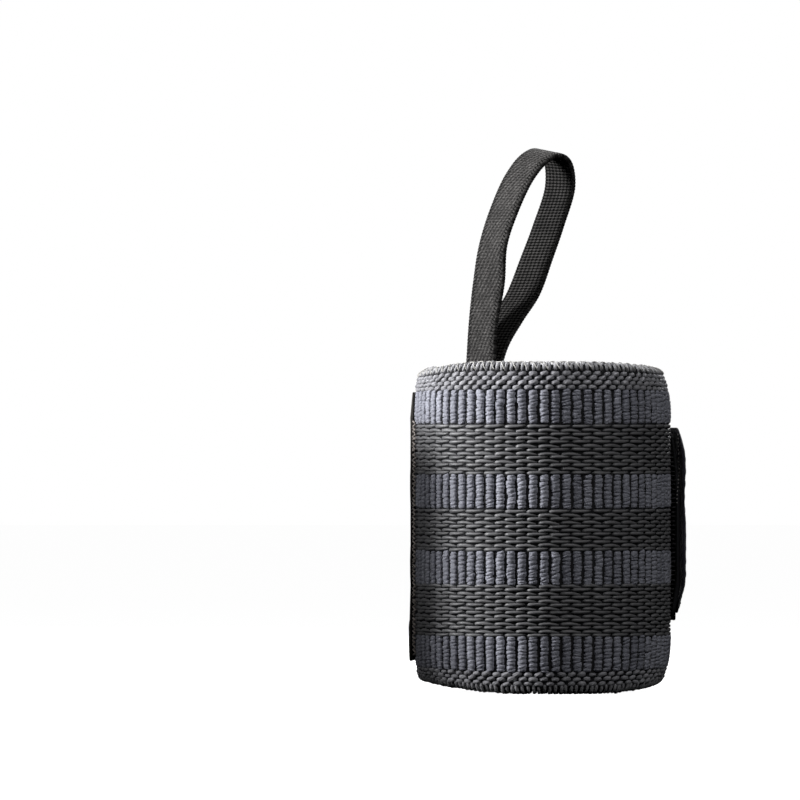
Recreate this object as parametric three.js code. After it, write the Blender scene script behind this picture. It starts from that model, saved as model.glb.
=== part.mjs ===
import * as THREE from "three";
import { LoftGeometry } from "three/addons/geometries/LoftGeometry.js";

// A wrist wrap for weight training, rolled up and standing on its lower edge: striped elastic
// webbing wound into an open roll, a folded binding over its outer end, a closure tab of hook tape
// and soft facing that goes on round the roll, and an elastic thumb loop sewn to the inner end.
// Lengths are in millimetres and angles in degrees. +Z is up and the front of the roll faces -Y.
// Angles run counterclockwise seen from above, from +X. A winding angle starts at the webbing's
// outer end and grows inwards, counterclockwise too.

// Clearance between two pieces, or two turns, that touch on the real thing
const CLEARANCE = 0.3;

// Webbing
const WEBBING_WIDTH = 80;
const WEBBING_THICKNESS = 2.4;
const ROLL_RADIUS = 32.1;
const FULL_TURNS = 2;
const OUTER_END_ANGLE = 140;
const OUTER_CORNER_RADIUS = 6;
const INNER_CORNER_RADIUS = 2;
const EDGE_CURL_SPAN = 13;
const END_CURL = 1.2;
const END_CURL_ANGLE = 36;
const RELIEF_SLOPE = 0.4;

// The stripes from an edge to the middle of the webbing, which is the same both ways. The widths
// are shares of the webbing's width, and the middle stripe is given whole. The thicknesses are
// shares of the webbing's.
const STRIPES = [
  { weave: "selvedge", width: 0.025, thickness: 0.6 },
  { weave: "plain", width: 0.055, thickness: 0.8 },
  { weave: "rib", width: 0.10125, thickness: 1 },
  { weave: "float", width: 0.15125, thickness: 0.8 },
  { weave: "rib", width: 0.1025, thickness: 1 },
  { weave: "float", width: 0.13, thickness: 0.8 },
];

// How the roll's edges leave a straight tube. Each row adds, at its angle and fading over its reach
// each way, a dip of the top and bottom rims and a pull of both towards the axis, as shares of the
// webbing's width. The last row is the same all round.
const RIM_SHAPE = [
  { angle: 180, reach: 60, top: 0.0275, bottom: 0, pull: 0 },
  { angle: 180, reach: 80, top: 0, bottom: 0.0325, pull: 0 },
  { angle: 0, reach: 70, top: 0.01875, bottom: 0.0225, pull: 0.0175 },
  { angle: 0, reach: Infinity, top: 0, bottom: 0, pull: 0.0125 },
];

// Binding folded over the outer end
const BINDING_THICKNESS = 0.8;
const BINDING_HEIGHT = 67;
const BINDING_OUTER_LEAF = 25;
const BINDING_INNER_LEAF = 13;
const BINDING_RIDGE = 0.3;
const BINDING_RIDGE_WIDTH = 4;
const BINDING_RIDGES = 3;

// Closure tab: hook tape below, facing above
const TAB_HEIGHT_ABOVE_MIDDLE = 1.5;
const TAB_END_ANGLE = 0;
const TAB_FREE_END = 8;
const TAB_FREE_END_BEND = 0.4;
const HOOK_TAPE_WIDTH = 48.5;
const HOOK_TAPE_THICKNESS = 1.1;
const HOOK_TAPE_ROOT = 4.5;
const HOOK_TAPE_TOP_CORNER = 20;
const HOOK_TAPE_BOTTOM_CORNER = 4;
const HOOK_TAPE_SETBACK = 1.5;
const FLARE_LENGTH = 5;
const FLARE_UP = 3.5;
const FLARE_DOWN = 5;
const FACING_WIDTH = 45;
const FACING_THICKNESS = 1;
const FACING_CORNER_RADIUS = 9;

// Thumb loop
const LOOP_WIDTH = 10;
const LOOP_THICKNESS = 1.2;
const LOOP_ANGLE = 222;
const LOOP_HEIGHT = 51.4;
const LOOP_REACH = 25.5;
const LOOP_SEWN_LENGTH = 18;
const LOOP_TWIST = 9;
const LOOP_TILT = 13;
const LOOP_CLEARANCE = 0.5;
const LOOP_END_MARGIN = 3;

// The thumb loop's middle line above the rim, from the outer leg over the top to the inner one:
// how far it reaches from the wall, as a share of the loop's reach, how far it rises, as a share
// of its height, and the shares of the twist and of the tilt that it has there.
const LOOP_COURSE = [
  { reach: 0.03, rise: 0.19, twist: -0.1, tilt: 0 },
  { reach: 0.1, rise: 0.38, twist: 0.7, tilt: 0 },
  { reach: 0.175, rise: 0.56, twist: 0.1, tilt: 0 },
  { reach: 0.31, rise: 0.73, twist: -0.1, tilt: 0 },
  { reach: 0.5, rise: 0.89, twist: 0, tilt: 0.4 },
  { reach: 0.7, rise: 0.975, twist: 0, tilt: 0.8 },
  { reach: 0.87, rise: 1, twist: -0.1, tilt: 1 },
  { reach: 0.99, rise: 0.925, twist: -0.2, tilt: 0.8 },
  { reach: 1, rise: 0.82, twist: -0.3, tilt: 0.3 },
  { reach: 0.905, rise: 0.66, twist: -0.2, tilt: 0 },
  { reach: 0.74, rise: 0.5, twist: 0.1, tilt: 0 },
  { reach: 0.55, rise: 0.33, twist: 1, tilt: 0 },
  { reach: 0.32, rise: 0.2, twist: 0.8, tilt: 0 },
  { reach: 0.14, rise: 0.07, twist: 0.3, tilt: 0 },
];

// Steps of the curved surfaces
const END_STEP = 5;
const TURN_STEP = 12;
const LEAF_STEPS = 6;
const RIDGE_STEPS = 4;
const FOLD_STEPS = 6;
const CORNER_STEPS = 4;
const LOOP_STEPS = 60;

const TURN_PITCH = WEBBING_THICKNESS + CLEARANCE;
const END_LIFT = HOOK_TAPE_THICKNESS + BINDING_THICKNESS + 2 * CLEARANCE;
const END_LIFT_PLATEAU = 9;
const END_LIFT_ANGLE = 33;

const toRadians = THREE.MathUtils.degToRad;
const toDegrees = THREE.MathUtils.radToDeg;
const { lerp, smoothstep } = THREE.MathUtils;

function atAngle(angle, radius, z) {
  const a = toRadians(angle);
  return new THREE.Vector3(radius * Math.cos(a), radius * Math.sin(a), z);
}

// How far an edge is cut back at a distance from a corner rounded to a radius
function cornerCutback(distance, radius) {
  const inside = Math.max(0, radius - distance);
  return radius - Math.sqrt(Math.max(0, radius * radius - inside * inside));
}

// The roll

// Middle of the webbing at a winding angle, away from its edges. Its end is lifted off the turn
// below by what lies between them.
function windingRadius(winding) {
  const lift = END_LIFT * (1 - smoothstep(winding, END_LIFT_PLATEAU, END_LIFT_ANGLE));
  return ROLL_RADIUS - WEBBING_THICKNESS / 2 - (TURN_PITCH * winding) / 360 + lift;
}

const outerFaceRadius = (winding) => windingRadius(winding) + WEBBING_THICKNESS / 2;
const innerFaceRadius = (winding) => windingRadius(winding) - WEBBING_THICKNESS / 2;

// What the rims' table adds up to at an angle, for one of its columns
function rimShape(angle, column) {
  let sum = 0;
  for (const row of RIM_SHAPE) {
    const apart = Math.abs(THREE.MathUtils.euclideanModulo(angle - row.angle + 180, 360) - 180);
    sum += row[column] * WEBBING_WIDTH * (1 - smoothstep(apart / row.reach, 0, 1));
  }
  return sum;
}

// How much of a rim's shape reaches a height: all of it at the edges, none past the curled span
function edgeShare(z) {
  const fromEdge = Math.max(0, Math.min(z, WEBBING_WIDTH - z));
  return Math.max(0, 1 - fromEdge / EDGE_CURL_SPAN) ** 2;
}

// How far the webbing is drawn in towards the axis, at a height and winding angle
function curl(z, winding) {
  const atEnd = END_CURL * (1 - smoothstep(winding, 0, END_CURL_ANGLE));
  return edgeShare(z) * (rimShape(OUTER_END_ANGLE + winding, "pull") + atEnd);
}

// Where a height on flat webbing comes to on the roll, at an angle
function dippedHeight(z, angle) {
  const rise = z < WEBBING_WIDTH / 2 ? rimShape(angle, "bottom") : -rimShape(angle, "top");
  return z + edgeShare(z) * rise;
}

// The webbing's section, from its lower edge up: heights as shares of the width, and half
// thicknesses. Neighbouring stripes join in a short slope.
function webbingProfile() {
  const rows = [...STRIPES, ...STRIPES.slice(0, -1).reverse()];
  const slope = RELIEF_SLOPE / 2 / WEBBING_WIDTH;
  const curlRows = [0.5, 0.75, 1].map((share) => (share * EDGE_CURL_SPAN) / WEBBING_WIDTH);
  const extra = [...curlRows, ...curlRows.map((share) => 1 - share).reverse()];
  const profile = [];
  let low = 0;
  for (const row of rows) {
    const high = low + row.width;
    const half = (row.thickness * WEBBING_THICKNESS) / 2;
    profile.push({ share: low === 0 ? 0 : low + slope, half });
    for (const share of extra) {
      if (share > low + 4 * slope && share < high - 4 * slope) profile.push({ share, half });
    }
    profile.push({ share: high > 1 - slope ? 1 : high - slope, half });
    low = high;
  }
  return profile;
}

const CORE_RADIUS = innerFaceRadius(360 * FULL_TURNS);
const INNER_END_ANGLE =
  LOOP_ANGLE + toDegrees((LOOP_WIDTH / 2 + LOOP_END_MARGIN) / CORE_RADIUS);
const WINDING = INNER_END_ANGLE - OUTER_END_ANGLE + 360 * FULL_TURNS;
const loopWinding = LOOP_ANGLE - OUTER_END_ANGLE + 360 * FULL_TURNS;

// Distances from an end over which a rounded corner is made, close together at the end
function cornerDistances(radius) {
  const distances = [];
  for (let i = 0; i < CORNER_STEPS; i++) {
    distances.push(radius * (1 - Math.cos((i / CORNER_STEPS) * (Math.PI / 2))));
  }
  return distances;
}

// The winding angles of the webbing's sections: small steps at the ends, and where the outer end
// comes down onto the roll
function webbingSteps() {
  const outer = cornerDistances(OUTER_CORNER_RADIUS).map((d) => toDegrees(d / ROLL_RADIUS));
  const inner = cornerDistances(INNER_CORNER_RADIUS).map((d) => WINDING - toDegrees(d / CORE_RADIUS));
  const between = [];
  for (let w = 2 * END_STEP; w < END_LIFT_ANGLE; w += END_STEP) between.push(w);
  for (let w = END_LIFT_ANGLE; w < inner.at(-1) - END_STEP; w += TURN_STEP) between.push(w);
  return [...outer, ...between, ...inner.reverse()];
}

function webbing() {
  const profile = webbingProfile();
  const sections = webbingSteps().map((winding) => {
    const angle = OUTER_END_ANGLE + winding;
    const radius = windingRadius(winding);
    const cutback =
      cornerCutback(toRadians(winding) * radius, OUTER_CORNER_RADIUS) +
      cornerCutback(toRadians(WINDING - winding) * radius, INNER_CORNER_RADIUS);
    const face = (side) =>
      profile.map(({ share, half }) => {
        const z = lerp(cutback, WEBBING_WIDTH - cutback, share);
        return atAngle(angle, radius + side * half - curl(z, winding), dippedHeight(z, angle));
      });
    return [...face(1).reverse(), ...face(-1)];
  });
  return new LoftGeometry(sections, { capStart: true, capEnd: true });
}

// The binding

// The outline of the folded strip at a height, in the plan: in along the outer leaf to the fold,
// round it and along the inner leaf, then back inside. The outer leaf is gathered in ridges.
function bindingOutline(z) {
  const point = (arc, offset) => {
    const winding = toDegrees(arc / windingRadius(0));
    const inRoll = Math.max(0, winding);
    return atAngle(OUTER_END_ANGLE + winding, windingRadius(inRoll) + offset - curl(z, inRoll), z);
  };
  const inside = WEBBING_THICKNESS / 2 + CLEARANCE;
  const outside = inside + BINDING_THICKNESS;
  const ridged = BINDING_RIDGES * BINDING_RIDGE_WIDTH;
  const swell = (arc) => BINDING_RIDGE * Math.sqrt(Math.abs(Math.sin((Math.PI * arc) / BINDING_RIDGE_WIDTH)));
  const outline = [];
  const along = (from, to, steps, offset) => {
    for (let i = 0; i < steps; i++) {
      const arc = lerp(from, to, i / steps);
      outline.push(point(arc, offset(arc)));
    }
  };
  const fold = (radius, from, to) => {
    for (let i = 0; i < FOLD_STEPS; i++) {
      const a = lerp(from, to, i / FOLD_STEPS);
      outline.push(point(-radius * Math.sin(a), radius * Math.cos(a)));
    }
  };
  along(BINDING_OUTER_LEAF, ridged, LEAF_STEPS, () => outside);
  along(ridged, 0, RIDGE_STEPS * BINDING_RIDGES, (arc) => outside + swell(arc));
  fold(outside, 0, Math.PI);
  along(0, BINDING_INNER_LEAF, LEAF_STEPS, () => -outside);
  along(BINDING_INNER_LEAF, 0, LEAF_STEPS, () => -inside);
  fold(inside, Math.PI, 0);
  along(0, BINDING_OUTER_LEAF, 2 * LEAF_STEPS, () => inside);
  outline.push(point(BINDING_OUTER_LEAF, inside));
  return outline;
}

function binding() {
  const low = (WEBBING_WIDTH - BINDING_HEIGHT) / 2;
  const heights = [];
  for (let i = 0; i <= CORNER_STEPS; i++) heights.push(lerp(low, EDGE_CURL_SPAN, i / CORNER_STEPS));
  const mirrored = heights.map((z) => WEBBING_WIDTH - z).reverse();
  const sections = [...heights, ...mirrored].map((z) => bindingOutline(z).reverse());
  return new LoftGeometry(sections, { capStart: true, capEnd: true });
}

// The closure tab

// A place along the tab: its angle on the outermost full turn down to where the tab leaves the
// roll, then straight on, bending a little away, by the length that springs off. Gives the point
// on the turn's outer face and the direction away from the roll.
function tabPlace(arcFromEnd) {
  const leave = TAB_END_ANGLE + toDegrees(TAB_FREE_END / 2 / ROLL_RADIUS);
  const past = TAB_FREE_END - arcFromEnd;
  const angle = past > 0 ? leave : leave - toDegrees(past / ROLL_RADIUS);
  const out = atAngle(angle, 1, 0);
  const on = out.clone().multiplyScalar(outerFaceRadius(angle - OUTER_END_ANGLE + 360));
  if (past > 0) {
    on.addScaledVector(new THREE.Vector3(out.y, -out.x, 0), past);
    on.addScaledVector(out, TAB_FREE_END_BEND * (past / TAB_FREE_END) ** 2);
  }
  return { on, out };
}

const TAB_LENGTH =
  TAB_FREE_END / 2 + toRadians(OUTER_END_ANGLE - TAB_END_ANGLE) * ROLL_RADIUS;
const FOLD_REACH = WEBBING_THICKNESS / 2 + CLEARANCE + BINDING_THICKNESS;

// A layer of the tab from one arc length to another, each counted back from the tab's free end.
// The reach function gives how far the layer reaches below and above the tab's middle there.
function tabLayer(arcs, below, thickness, reach) {
  const middle = WEBBING_WIDTH / 2 + TAB_HEIGHT_ABOVE_MIDDLE;
  const round = thickness / 4;
  const sections = arcs.map((arc) => {
    const { on, out } = tabPlace(arc);
    const [down, up] = reach(arc);
    const corner = (depth, z) => on.clone().addScaledVector(out, below + depth).setZ(middle + z);
    return [
      corner(0, round - down),
      corner(0, up - round),
      corner(round, up),
      corner(thickness - round, up),
      corner(thickness, up - round),
      corner(thickness, round - down),
      corner(thickness - round, -down),
      corner(round, -down),
    ];
  });
  return new LoftGeometry(sections, { capStart: true, capEnd: true });
}

// Arc lengths for a layer: close together round the corners of its free end, then evenly
function layerArcs(start, cornerRadius, end) {
  const arcs = [];
  for (let i = 0; i < CORNER_STEPS * 2; i++) {
    const turned = (i / (CORNER_STEPS * 2)) * (Math.PI / 2);
    arcs.push(start + cornerRadius * (1 - Math.cos(turned)));
  }
  const length = end - start - cornerRadius;
  const count = Math.ceil(length / (toRadians(2 * END_STEP) * ROLL_RADIUS));
  for (let i = 0; i <= count; i++) arcs.push(start + cornerRadius + (length * i) / count);
  return arcs;
}

function hookTape() {
  const half = HOOK_TAPE_WIDTH / 2;
  const end = TAB_LENGTH + HOOK_TAPE_ROOT;
  const arcs = layerArcs(HOOK_TAPE_SETBACK, HOOK_TAPE_BOTTOM_CORNER, end - 2 * FLARE_LENGTH);
  for (let i = 1; i <= CORNER_STEPS; i++) {
    arcs.push(end - 2 * FLARE_LENGTH * (1 - i / CORNER_STEPS));
  }
  const reach = (arc) => {
    const fromEnd = arc - HOOK_TAPE_SETBACK;
    const flare = smoothstep(arc, end - 2 * FLARE_LENGTH, end - FLARE_LENGTH / 2);
    return [
      half - cornerCutback(fromEnd, HOOK_TAPE_BOTTOM_CORNER) + FLARE_DOWN * flare,
      half - cornerCutback(fromEnd, HOOK_TAPE_TOP_CORNER) + FLARE_UP * flare,
    ];
  };
  return tabLayer(arcs, CLEARANCE, HOOK_TAPE_THICKNESS, reach);
}

function facing() {
  const half = FACING_WIDTH / 2;
  const end = TAB_LENGTH - FOLD_REACH - 2 * CLEARANCE;
  const arcs = layerArcs(0, FACING_CORNER_RADIUS, end);
  const reach = (arc) => {
    const cutback = cornerCutback(arc, FACING_CORNER_RADIUS);
    return [half - cutback, half - cutback];
  };
  return tabLayer(arcs, 2 * CLEARANCE + HOOK_TAPE_THICKNESS, FACING_THICKNESS, reach);
}

// The thumb loop

// The rows of its course, from the outer leg's sewn end to the inner one's, with the reach and the
// height in millimetres
function loopCourse() {
  const rim = dippedHeight(WEBBING_WIDTH, LOOP_ANGLE);
  const atRim = curl(rim, loopWinding);
  const sewn = (share, reach) => {
    const z = rim - share * LOOP_SEWN_LENGTH;
    return { reach: curl(z, loopWinding) + reach, z, twist: 0, tilt: 0 };
  };
  const risen = LOOP_COURSE.map((row) => {
    const reach = atRim + row.reach * LOOP_REACH;
    return { ...row, reach, z: rim + row.rise * (LOOP_HEIGHT - LOOP_THICKNESS / 2) };
  });
  const pair = LOOP_THICKNESS + CLEARANCE;
  const outer = [1, 2 / 3, 1 / 3, 0].map((share) => sewn(share, 0));
  const inner = [1 / 3, 2 / 3, 1].map((share) => sewn(share, pair));
  return [...outer, ...risen, ...inner];
}

// It stands in an upright plane through the axis, with its two ends one on the other against the
// inner face of the webbing. The band's width lies across that plane, but for its twist and tilt.
function thumbLoop() {
  const course = loopCourse();
  const line = new THREE.CatmullRomCurve3(course.map(({ reach, z }) => new THREE.Vector3(reach, 0, z)));
  const turns = new THREE.CatmullRomCurve3(course.map(({ twist, tilt }) => new THREE.Vector3(twist, 0, tilt)));
  const wall = innerFaceRadius(loopWinding) - LOOP_CLEARANCE;
  const flat = Math.sqrt(wall * wall - (LOOP_WIDTH * LOOP_WIDTH) / 4) - LOOP_THICKNESS / 2;
  const inPlane = ({ x, z }, from) => atAngle(LOOP_ANGLE, from - x, z);
  const w = LOOP_WIDTH / 2;
  const t = LOOP_THICKNESS / 2;
  const round = LOOP_THICKNESS / 4;
  const sections = [];
  for (let i = 0; i <= LOOP_STEPS; i++) {
    const at = line.getUtoTmapping(i / LOOP_STEPS);
    const middle = inPlane(line.getPoint(at), flat);
    const along = inPlane(line.getTangent(at), 0);
    const { x: twist, z: tilt } = turns.getPoint(at);
    const dip = toRadians(tilt * LOOP_TILT);
    const across = atAngle(LOOP_ANGLE + 90 + twist * LOOP_TWIST, Math.cos(dip), -Math.sin(dip));
    const out = new THREE.Vector3().crossVectors(across, along).normalize();
    const corner = (p, q) => middle.clone().addScaledVector(across, p).addScaledVector(out, q);
    sections.push([
      corner(-w, t - round),
      corner(round - w, t),
      corner(w - round, t),
      corner(w, t - round),
      corner(w, round - t),
      corner(w - round, -t),
      corner(round - w, -t),
      corner(-w, round - t),
    ]);
  }
  return new LoftGeometry(sections, { capStart: true, capEnd: true });
}

// The assembly
const cloth = (color, roughness) => new THREE.MeshStandardMaterial({ color, roughness, metalness: 0 });

const pieces = [
  ["webbing", webbing(), cloth(0x5d6070, 0.9)],
  ["end_binding", binding(), cloth(0x2c2a28, 0.95)],
  ["hook_tape", hookTape(), cloth(0x0d0d10, 0.8)],
  ["tab_facing", facing(), cloth(0x1d1c2c, 0.95)],
  ["thumb_loop", thumbLoop(), cloth(0x343333, 0.9)],
];

const wrap = new THREE.Group();
for (const [name, geometry, material] of pieces) {
  const mesh = new THREE.Mesh(geometry, material);
  mesh.name = name;
  wrap.add(mesh);
}

// The origin is the middle of the standing roll's box, on the surface that it stands on.
const bounds = new THREE.Box3().setFromObject(wrap);
const centre = bounds.getCenter(new THREE.Vector3());
wrap.position.set(-centre.x, -centre.y, -bounds.min.z);

export default wrap;
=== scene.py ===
import bpy
import numpy as np
from numpy import arange, concatenate as join, cos, linspace, pi, radians, sin, stack
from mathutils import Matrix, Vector


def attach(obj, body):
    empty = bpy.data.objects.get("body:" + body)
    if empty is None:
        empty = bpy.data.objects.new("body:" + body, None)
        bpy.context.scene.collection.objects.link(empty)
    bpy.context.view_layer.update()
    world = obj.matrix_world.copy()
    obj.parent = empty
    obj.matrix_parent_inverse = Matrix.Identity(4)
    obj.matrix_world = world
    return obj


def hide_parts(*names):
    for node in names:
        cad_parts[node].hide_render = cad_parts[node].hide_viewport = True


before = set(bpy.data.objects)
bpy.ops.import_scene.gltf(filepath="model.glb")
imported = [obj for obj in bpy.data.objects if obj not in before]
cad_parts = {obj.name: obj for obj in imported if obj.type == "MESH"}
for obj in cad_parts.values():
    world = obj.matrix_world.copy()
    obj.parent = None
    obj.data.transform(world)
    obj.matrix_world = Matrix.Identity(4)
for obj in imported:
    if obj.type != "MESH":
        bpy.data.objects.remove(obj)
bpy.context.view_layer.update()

# A rolled wrist wrap, yarn by yarn. Lengths are in millimetres and angles in degrees, counted
# counterclockwise from above. A place on the webbing is worked out on the flat webbing first, as
# its length along from the outer end, its height above the lower edge and its depth out from the
# middle of the cloth, and is then wound onto the roll.

MM = 0.001
AXIS_AT = np.array([-0.6641, -0.6551, 0.0])
random = np.random.default_rng(27)

# The wound webbing, as in the solid model
WIDTH = 80.0
THICKNESS = 2.4
ROLL_RADIUS = 32.1
CLEARANCE = 0.3
TURN_PITCH = 2.7
END_ANGLE = 140.0
END_LIFT, LIFT_FROM, LIFT_TO = 2.5, 9.0, 33.0
CURL_SPAN = 13.0
END_CURL, END_CURL_ANGLE = 1.2, 36.0
OUTER_CORNER, INNER_CORNER = 6.0, 2.0
WINDING, WINDING_SAMPLES = 822.04, 8001
RIM_SHAPE = (
    # angle, reach, dip of the top, dip of the bottom, pull towards the axis
    (180, 60, 2.2, 0.0, 0.0),
    (180, 80, 0.0, 2.6, 0.0),
    (0, 70, 1.5, 1.8, 1.4),
    (0, np.inf, 0.0, 0.0, 1.0),
)
TOP_DIP, BOTTOM_DIP, PULL = 2, 3, 4

# The ground under the yarns
GROUND_MARGIN, GROUND_INSET, GROUND_ROUND, GROUND_HALF_DEPTH = 0.2, 1.6, 0.8, 0.62
GROUND_STEPS, GROUND_ROWS = 420, 17

# The ribs, and the bunches of thread in each
RIB_PITCH = 2.63
RIB_STRIPES = ((5.4, 13.95), (26.2, 34.35), (44.6, 52.8), (65.0, 73.2))
RIB_SECTION = (0, 32, 58, 90, 145, 215, 270, 302, 328)
BUNCHES, BUNCH_RINGS, BUNCH_HEIGHTS = 9, (0, 0.2, 0.8), (0.6, 1.4)

# The floats, the plain weave and the selvedges
FLOAT_STRIPES = (
    # height of the top row, rows below it, drop from one to the next, with a row above the top one
    (25.1, 6, 1.82, True),
    (43.95, 5, 1.83, False),
    (64.35, 6, 1.86, False),
)
FLOAT_PAIR = 0.82
FLOAT_RINGS = (0.0, 0.035, 0.11, 0.3, 0.52, 0.75, 0.92, 1.0)
PLAIN_ROWS = (
    # height, and how far along from the gaps, in ribs
    (4.75, 0.0), (3.6, 0.5), (2.5, 0.0), (73.75, 0.0), (74.9, 0.5), (76.0, 0.0), (77.05, 0.5),
)
PLAIN_RINGS = (0.0, 0.08, 0.26, 0.5, 0.74, 0.92, 1.0)
LOOPS_PER_RIB = 2


def fade(x, low, high):
    """The smooth step: 0 below low, 1 above high, 3t^2 - 2t^3 between them."""
    t = np.clip((x - low) / (high - low), 0, 1)
    return t * t * (3 - 2 * t)


def off_middle(t, power):
    """0 in the middle of the way from 0 to 1, and 1 at both ends: |2t - 1| to a power."""
    return np.abs(2 * t - 1) ** power


def blunt(t, power, cut):
    """A yarn's size on its way from 0 to 1: the root of 1 - cut times |2t - 1| to a power."""
    return np.sqrt(1 - off_middle(t, power) * cut)


def jitter(spread, yarns):
    """A random number for each of many yarns, from a bell curve round 0."""
    return random.normal(0, spread, (len(yarns), 1))


def run_along(points, power=1.0):
    """How far along a line its points are: the lengths of its steps, to a power, added up."""
    return np.append(0, np.cumsum(np.linalg.norm(np.diff(points, axis=0), axis=1) ** power))


def spaced(count, bunched):
    """Numbers from -1 to 1: even steps mixed with a share of a sine's, closer at the ends."""
    even = linspace(-1, 1, count)
    return sin(linspace(-pi / 2, pi / 2, count)) * bunched + (1 - bunched) * even


def places(*parts):
    """Places from their lengths, heights and depths, or from any other numbers side by side."""
    return stack(np.broadcast_arrays(*parts), -1)


def unit(v):
    return v / np.linalg.norm(v, axis=-1, keepdims=True)


def turn_radius(turn):
    """The middle of the cloth at a winding angle: the roll's radius less half the cloth, less a
    turn's pitch for each turn, plus the lift of the outer end, which fades away."""
    lift = END_LIFT * (1 - fade(turn, LIFT_FROM, LIFT_TO))
    return ROLL_RADIUS - THICKNESS / 2 - TURN_PITCH * turn / 360 + lift


def rim(angle, column):
    """What the table of the rims' shape adds up to at an angle: each row's value, fading with a
    smooth step over its reach on both sides."""
    apart = [np.abs((angle - row[0] + 180) % 360 - 180) / row[1] for row in RIM_SHAPE]
    return sum(row[column] * (1 - fade(a, 0, 1)) for row, a in zip(RIM_SHAPE, apart))


def rim_share(height):
    """How far a height is into a rim: the square of 1 - distance from the edge / curled span."""
    return np.clip(1 - np.minimum(height, WIDTH - height) / CURL_SPAN, 0, 1) ** 2


def curl(turn, height):
    """How far a rim is pulled towards the axis: the rims' pull, and the outer end's own curl, which
    fades away, times the rim's share."""
    pull = rim(END_ANGLE + turn, PULL) + END_CURL * (1 - fade(turn, 0, END_CURL_ANGLE))
    return rim_share(height) * pull


def cutback(distance, radius):
    """How far a corner rounded to a radius cuts an edge back, at a distance from the corner."""
    inside = np.clip(radius - distance, 0, radius)
    return radius - np.sqrt(radius**2 - inside**2)


def from_axis(angle, radius, height):
    """Places at an angle, a distance from the axis and a height."""
    a = radians(angle)
    return places(radius * cos(a), radius * sin(a), height)


# Length along the cloth against winding angle, added up in small steps
TURNS = linspace(0, WINDING, WINDING_SAMPLES)
TURN_STEP = TURNS[1]
LENGTHS = np.append(0, np.cumsum(radians(TURN_STEP) * turn_radius(TURNS[1:] - TURN_STEP / 2)))
LENGTH = LENGTHS[-1]


def wind(flat):
    """Winds flat places onto the roll. Angle = outer end + winding angle; radius = the turn's
    radius + depth - curl; height = flat height + dip, which is the rims' dip times the rim's share.
    Heights are squeezed together at both ends, as far as the rounded corners cut them back."""
    along, height, depth = np.moveaxis(flat, -1, 0)
    turn = np.interp(along, LENGTHS, TURNS)
    angle = END_ANGLE + turn
    cut = cutback(along, OUTER_CORNER) + cutback(LENGTH - along, INNER_CORNER)
    height = cut + height * (WIDTH - 2 * cut) / WIDTH
    dip = np.where(height < WIDTH / 2, rim(angle, BOTTOM_DIP), -rim(angle, TOP_DIP))
    radius = turn_radius(turn) + depth - curl(turn, height)
    return from_axis(angle, radius, height + rim_share(height) * dip)


def tube_rings(path, across, wide, around, thick=None, squareness=2.0):
    """Rings of many yarns: the path's point + wide c across + thick s out, where out is square to
    the path and to across, and c and s are the cosine and sine of the angle round the yarn to the
    power 2 / squareness, with their signs. around is a number of steps, or the angles themselves."""
    direction = unit(np.gradient(path, axis=1))
    across = np.broadcast_to(np.asarray(across, float), path.shape)
    across = unit(across - np.sum(across * direction, -1, keepdims=True) * direction)
    out = np.cross(direction, across)
    a = 2 * pi * arange(around) / around if np.ndim(around) == 0 else radians(around)
    c, s = (np.sign(f) * np.abs(f) ** (2 / squareness) for f in (cos(a), sin(a)))
    thick = wide if thick is None else thick
    wide, thick = (np.broadcast_to(x, path.shape[:2])[..., None] for x in (wide, thick))
    ring = (wide * c)[..., None] * across[:, :, None] + (thick * s)[..., None] * out[:, :, None]
    return path[:, :, None] + ring


# Pieces
SHELL_SHIFT = 7.3
ALONG, UPWARD, OUTWARD = (1, 0, 0), (0, 1, 0), (0, 0, 1)


def placed(name, data):
    """A new object in the scene."""
    made = bpy.data.objects.new(name, data)
    bpy.context.collection.objects.link(made)
    return made


def shell_faces(count, around):
    """A closed shell's quads between neighbouring rings, and its triangles, in a fan from the middle
    of each end ring. Both kinds come as their corners' points, and as the corners' rings and
    steps round them in the UV map."""
    ring, step = (k.reshape(-1, 1) for k in np.indices((count - 1, around)))
    ring, step = ring + [0, 0, 1, 1], step + [0, 1, 1, 0]
    quads = ring * around + step % around
    here = arange(around)
    after, last, pole = (here + 1) % around, (count - 1) * around, np.full(around, count * around)
    start = stack([pole, after, here], -1)
    end = stack([pole + 1, last + here, last + after], -1)
    fan_ring = np.repeat([0, count - 1], around)[:, None] + [0, 0, 0]
    fan_step = np.tile(here, 2)[:, None] + [0, 1, 0]
    return (quads, ring, step), (join([start, end]), fan_ring, fan_step)


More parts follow.
